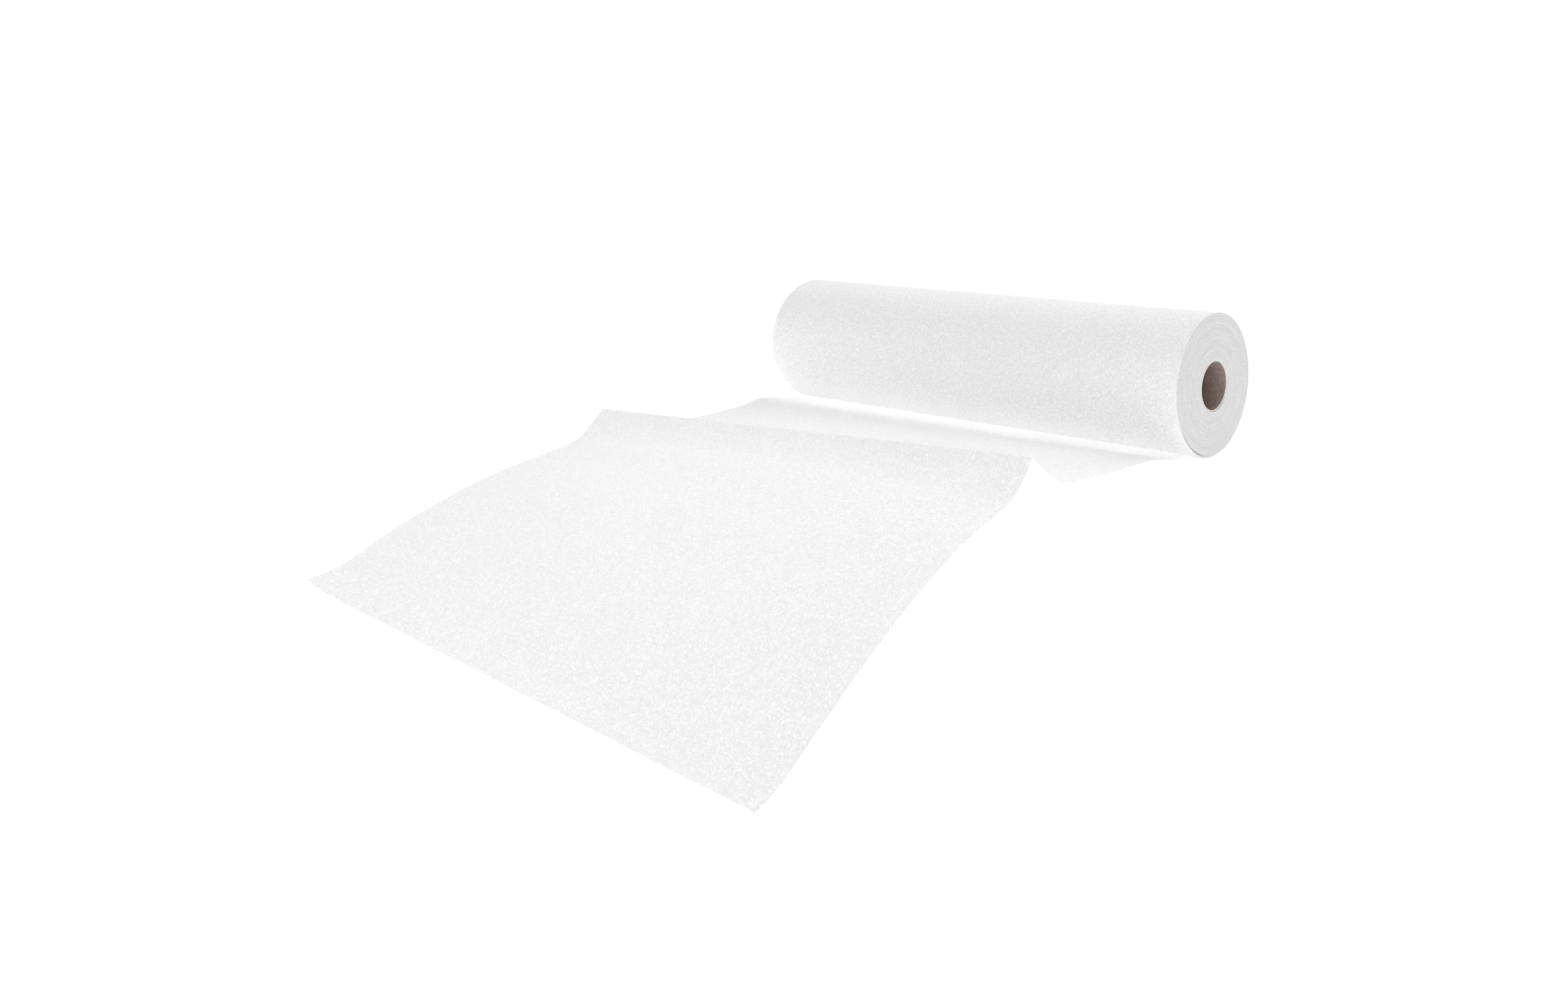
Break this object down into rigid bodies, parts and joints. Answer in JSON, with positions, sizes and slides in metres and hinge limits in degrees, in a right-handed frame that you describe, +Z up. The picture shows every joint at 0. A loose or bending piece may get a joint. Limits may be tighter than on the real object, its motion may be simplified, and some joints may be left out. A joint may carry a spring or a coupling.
{
  "type": "exam table paper roll",
  "caption": "Wide roll of soft embossed paper wound on a cardboard core, with a length drawn off in a low ridge that lies in front of it.",
  "frame": {"origin": "middle of the flat spot that the roll rests on, straight below the middle of the core", "axes": "+X along the core, towards the end that the picture shows; -Y the way the paper is drawn off; +Z up"},
  "size_m": [0.514, 0.6426, 0.1275],
  "materials": {
    "core_board": "plain grey-brown board",
    "soft_paper": "matt white, finely embossed"
  },
  "bodies": {
    "root": {"core": "core_board", "paper": "soft_paper"}
  },
  "joints": []
}
